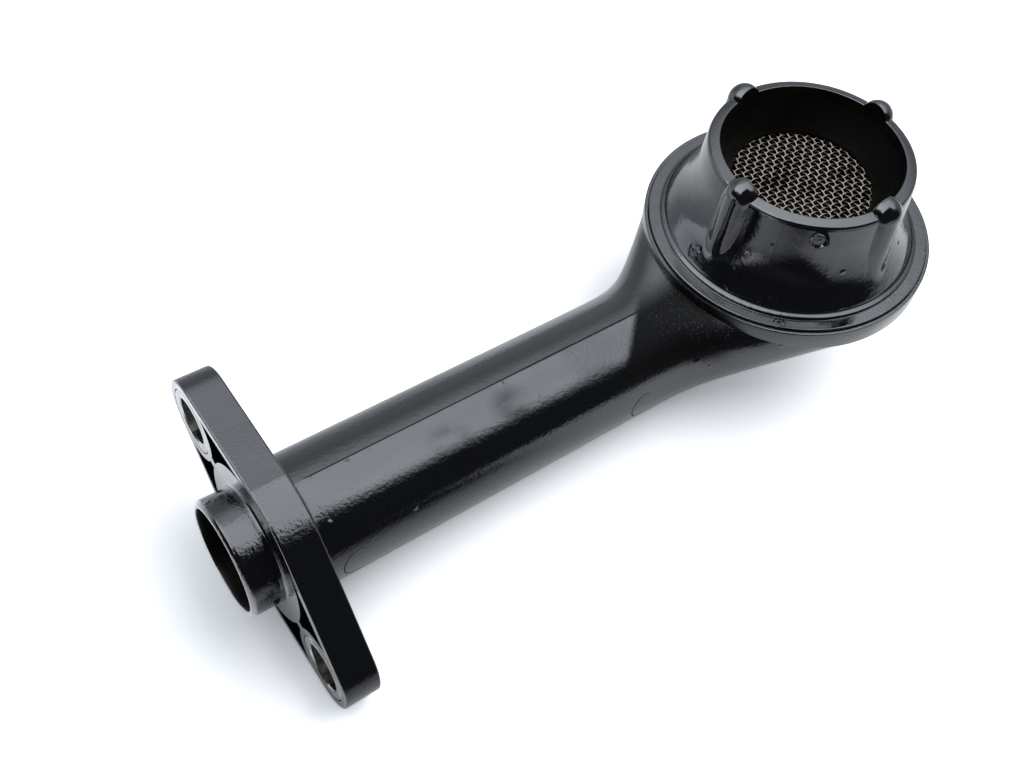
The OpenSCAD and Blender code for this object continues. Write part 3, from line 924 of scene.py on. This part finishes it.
# white sheet that the flange and the bowl rest on
def makeFloor():
    s = floorSet
    (x0, z0), (x1, z1) = s["flangeFoot"], s["bowlFoot"]
    lean = math.atan2(z1 - z0, x1 - x0)
    half = s["size"] / 2 / mm
    corners = [(-half, -half, 0), (half, -half, 0), (half, half, 0), (-half, half, 0)]
    floor = meshObject("floor", corners, [(0, 1, 2, 3)])
    floor.data.transform(Matrix.Translation((x0 * mm, 0, z0 * mm)) @ Matrix.Rotation(-lean, 4, "Y"))
    material = bpy.data.materials.new("paleFloor")
    material.use_nodes = True
    tree = material.node_tree
    tree.nodes.clear()
    path = tree.nodes.new("ShaderNodeLightPath")
    spot = objectSpot(tree)
    # painted reflection: the gloss on the part sees the sheet fade out to both sides, dark in front as painted
    # shade and pale behind
    x, y, _ = addNode(tree, "ShaderNodeSeparateXYZ", Vector=spot).outputs
    reach = rangeNode(tree, x, *s["widen"], *s["reach"])
    near = rangeNode(tree, mathNode(tree, "ABSOLUTE", y), reach, 0.0)
    far = mixColour(tree, rangeNode(tree, y, *s["far"]), s["paintedShadePaper"], s["farPaper"])
    shown = total(tree, path.outputs["Is Camera Ray"], path.outputs["Is Transmission Ray"])
    colour = mixColour(tree, shown, s["paper"], s["seenPaper"])
    mirrored = mixColour(tree, near, far, s["mirrorPaper"])
    # painted reflection: the sheet as the gloss sees it grows up to 2.6 times brighter past the flange's face,
    # where x falls below zero
    paintedReflectionGain = rangeNode(tree, x, *s["front"], 1.0, s["paintedReflectionGain"])
    mirrored = vectorNode(tree, "SCALE", i0=mirrored, Scale=paintedReflectionGain)
    colour = mixColour(tree, path.outputs["Is Glossy Ray"], colour, mirrored)
    grain = rangeNode(tree, noiseNode(tree, spot, 30.0, 3.0), 0.3, 0.7, 0.985, 1.0)
    colour = vectorNode(tree, "SCALE", i0=colour, Scale=grain)
    paper = addNode(tree, "ShaderNodeBsdfDiffuse", Color=colour)
    tree.links.new(paper.outputs[0], tree.nodes.new("ShaderNodeOutputMaterial").inputs[0])
    floor.data.materials.append(material)


# soft lamp overhead; its mirror image is the world's window instead
def makeLamp():
    s = lampSet
    lamp = bpy.data.lights.new("softBox", "AREA")
    lamp.shape, lamp.size, lamp.energy, lamp.color = "SQUARE", s["size"], s["power"], s["colour"]
    light = bpy.data.objects.new("softBox", lamp)
    scene.collection.objects.link(light)
    way = Vector(s["way"]).normalized()
    light.matrix_world = (Matrix.Translation(Vector((0.07, 0, 0)) + way * s["away"])
                          @ way.to_track_quat("Z", "Y").to_matrix().to_4x4())
    light.visible_glossy = False


# room round the sheet: reflections see a window overhead, a mid tone behind and dark elsewhere
def makeWorld():
    s = roomSet
    world = bpy.data.worlds.new("studio")
    scene.world = world
    world.use_nodes = True
    tree = world.node_tree
    tree.nodes.clear()
    path = tree.nodes.new("ShaderNodeLightPath")
    way = addNode(tree, "ShaderNodeTexCoord").outputs[0]
    x, y, z = addNode(tree, "ShaderNodeSeparateXYZ", Vector=way).outputs
    sill = mathNode(tree, "MULTIPLY_ADD", x, *s["sill"])
    sill = total(tree, sill, rangeNode(tree, x, 0.05, -0.30, 0.0, s["sillRise"]))
    behind = rangeNode(tree, mathNode(tree, "SUBTRACT", y, sill), -0.015, 0.02)
    behind = mathNode(tree, "MAXIMUM", behind, rangeNode(tree, x, *s["endWall"]))
    front = mathNode(tree, "SUBTRACT", 1.0, behind)
    # the near side is shaded, more so on the left
    ahead = rangeNode(tree, x, 0.0, 0.25)
    shade = rangeNode(tree, y, mathNode(tree, "MULTIPLY_ADD", ahead, *s["shadeLow"]),
                      mathNode(tree, "MULTIPLY_ADD", ahead, *s["shadeHigh"]))
    window = product(tree, rangeNode(tree, x, *s["windowLeft"]), shade,
                     rangeNode(tree, z, *s["windowFoot"]), front)
    bright = mathNode(tree, "MULTIPLY_ADD", x, s["window"][1], s["window"][0])
    pale = product(tree, behind, rangeNode(tree, y, *s["wallNear"]), rangeNode(tree, x, *s["wallLeft"]),
                   rangeNode(tree, z, *s["wallUp"]))
    mirrored = total(tree, product(tree, window, bright), pale, s["dark"])
    glossy, seen = path.outputs["Is Glossy Ray"], path.outputs["Is Camera Ray"]
    plain = mathNode(tree, "SUBTRACT", 1.0, glossy)
    level = total(tree, product(tree, glossy, mirrored), product(tree, plain, s["dome"]))
    level = total(tree, product(tree, level, mathNode(tree, "SUBTRACT", 1.0, seen)), seen)
    colour = mixColour(tree, seen, s["tint"], (1, 1, 1, 1))
    back = addNode(tree, "ShaderNodeBackground", Color=colour, Strength=level)
    tree.links.new(back.outputs[0], tree.nodes.new("ShaderNodeOutputWorld").inputs[0])


def makeCamera():
    v = photoView
    camera = bpy.data.cameras.new("photoView")
    camera.sensor_fit, camera.sensor_width = "HORIZONTAL", 36.0
    camera.lens = camera.sensor_width * v["focal"] / v["width"]
    camera.clip_start, camera.clip_end = 0.01, 20.0
    seat = bpy.data.objects.new("photoView", camera)
    scene.collection.objects.link(seat)
    rows = [[v["right"][i], v["up"][i], v["back"][i], v["place"][i]] for i in range(3)]
    seat.matrix_world = Matrix(rows + [[0, 0, 0, 1]])
    scene.camera = seat


makeFloor()
makeLamp()
makeWorld()
makeCamera()
scene.view_settings.view_transform = "Standard"
print("stage set")
